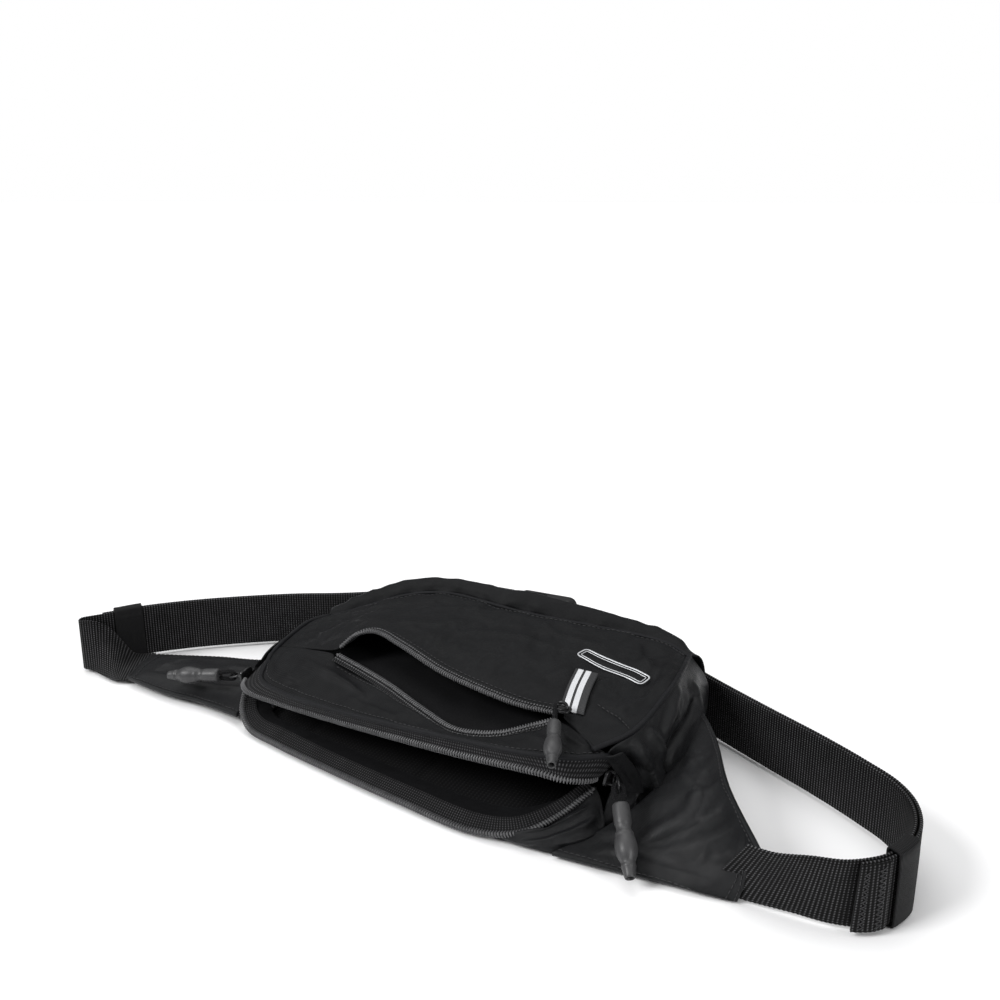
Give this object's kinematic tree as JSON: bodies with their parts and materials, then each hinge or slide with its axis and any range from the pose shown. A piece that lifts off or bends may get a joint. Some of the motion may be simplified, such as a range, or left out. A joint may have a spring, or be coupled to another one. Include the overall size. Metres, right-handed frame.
{
  "type": "waist bag",
  "caption": "Black nylon waist bag lying on its padded back, main zip gaping, front pocket zip open, hip wings and webbing belt joined by a side-release buckle.",
  "frame": {"origin": "middle of the padded back panel's underside, which is the face it lies on", "axes": "+X along the belt, +Y towards the bag's bottom edge, +Z out of the front, away from the wearer"},
  "size_m": [0.5782, 0.2467, 0.0729],
  "materials": {
    "shell_fabric": "black coated nylon plain weave, soft satin sheen, puckered at the seams",
    "padding": "black spacer mesh over foam",
    "lining": "thin dull black lining cloth",
    "piping": "black bias tape folded over a cord",
    "zip_tape": "black woven zip tape with a fine herringbone",
    "zip_coil": "black nylon coil",
    "webbing": "black ribbed nylon webbing",
    "keeper": "black knitted elastic",
    "buckle_plastic": "black moulded plastic with a fine grain",
    "slider_metal": "black enamelled die casting and wire",
    "pull_cord": "black braided cord",
    "pull_rubber": "dark grey soft moulded rubber"
  },
  "bodies": {
    "bag": {"back_panel": "padding", "left_gusset": "shell_fabric", "right_gusset": "shell_fabric", "main_zip_lower_tape": "zip_tape", "main_zip_lower_coil": "zip_coil", "right_wing": "shell_fabric", "left_wing": "shell_fabric", "right_webbing": "webbing", "right_tail": "webbing", "left_webbing": "webbing", "left_tail": "webbing", "buckle_socket": "buckle_plastic"},
    "front": {"front_panel": "shell_fabric", "pocket_panel": "shell_fabric", "front_piping": "piping", "bottom_gusset": "shell_fabric", "main_zip_upper_tape": "zip_tape", "main_zip_upper_coil": "zip_coil", "pocket_zip_upper_coil": "zip_coil", "pocket_zip_lower_coil": "zip_coil", "pocket_zip_upper_tape": "zip_tape", "pocket_zip_lower_tape": "zip_tape", "pocket_lining": "lining", "pocket_tab": "webbing"},
    "right_slider": {"right_slider": "slider_metal"},
    "left_slider": {"left_slider": "slider_metal"},
    "pocket_slider": {"pocket_slider": "slider_metal"},
    "right_pull": {"right_pull_wire": "slider_metal", "right_pull_cord": "pull_cord", "right_pull_end": "pull_rubber"},
    "left_pull": {"left_pull_wire": "slider_metal", "left_pull_cord": "pull_cord", "left_pull_end": "pull_rubber"},
    "pocket_pull": {"pocket_pull_wire": "slider_metal", "pocket_pull_cord": "pull_cord", "pocket_pull_end": "pull_rubber"},
    "buckle_plug": {"buckle_plug": "buckle_plastic"},
    "upper_prong": {"upper_prong": "buckle_plastic"},
    "lower_prong": {"lower_prong": "buckle_plastic"},
    "right_keeper": {"right_keeper": "keeper"},
    "left_keeper": {"left_keeper": "keeper"}
  },
  "joints": [
    {"name": "mouth", "type": "hinge", "parent": "bag", "child": "front", "pos_m": [0, 0.077, 0.003], "axis": [-1, 0, 0], "range_deg": [0, 7], "deforming": ["left_gusset", "right_gusset", "main_zip_lower_tape", "main_zip_lower_coil"]},
    {"name": "right_slider_run", "type": "hinge", "parent": "front", "child": "right_slider", "pos_m": [0.088, -0.054, 0.04], "axis": [-0.15, -0.15, -0.9772], "range_deg": [0, 75]},
    {"name": "left_slider_run", "type": "hinge", "parent": "front", "child": "left_slider", "pos_m": [-0.127, -0.027, 0.028], "axis": [0, 0, 1], "range_deg": [0, 60]},
    {"name": "pocket_slider_run", "type": "slide", "parent": "front", "child": "pocket_slider", "axis": [-0.9946, 0.0988, 0.0309], "range_m": [0, 0.15]},
    {"name": "right_pull_swing", "type": "hinge", "parent": "right_slider", "child": "right_pull", "pos_m": [0.12055, -0.054, 0.035], "axis": [0.1483, 0, 0.9889], "range_deg": [-45, 0]},
    {"name": "left_pull_lift", "type": "hinge", "parent": "left_slider", "child": "left_pull", "pos_m": [-0.1536, -0.027, 0.028], "axis": [0, 1, 0], "range_deg": [0, 100]},
    {"name": "pocket_pull_lift", "type": "hinge", "parent": "pocket_slider", "child": "pocket_pull", "pos_m": [0.084, -0.04, 0.0641], "axis": [-1, 0, 0], "range_deg": [0, 115]},
    {"name": "buckle_release", "type": "slide", "parent": "bag", "child": "buckle_plug", "axis": [-1, 0, 0], "range_m": [0, 0.034], "deforming": ["left_webbing", "left_tail"]},
    {"name": "upper_prong_squeeze", "type": "hinge", "parent": "buckle_plug", "child": "upper_prong", "pos_m": [-0.0279, 0.141, 0.0405], "axis": [0, 1, 0], "range_deg": [0, 6], "stiffness_Nm_per_rad": 0.1},
    {"name": "lower_prong_squeeze", "type": "hinge", "parent": "buckle_plug", "child": "lower_prong", "pos_m": [-0.0279, 0.141, 0.0125], "axis": [0, 1, 0], "range_deg": [-6, 0], "stiffness_Nm_per_rad": 0.1},
    {"name": "right_keeper_slide", "type": "slide", "parent": "bag", "child": "right_keeper", "axis": [0.3907, 0.9205, 0], "range_m": [-0.003, 0]},
    {"name": "left_keeper_slide", "type": "slide", "parent": "bag", "child": "left_keeper", "axis": [0.5736, 0.8192, 0], "range_m": [-0.003, 0.006]}
  ],
  "couplings": [
    {"joint": "lower_prong_squeeze", "follows": "upper_prong_squeeze", "ratio": -1}
  ]
}
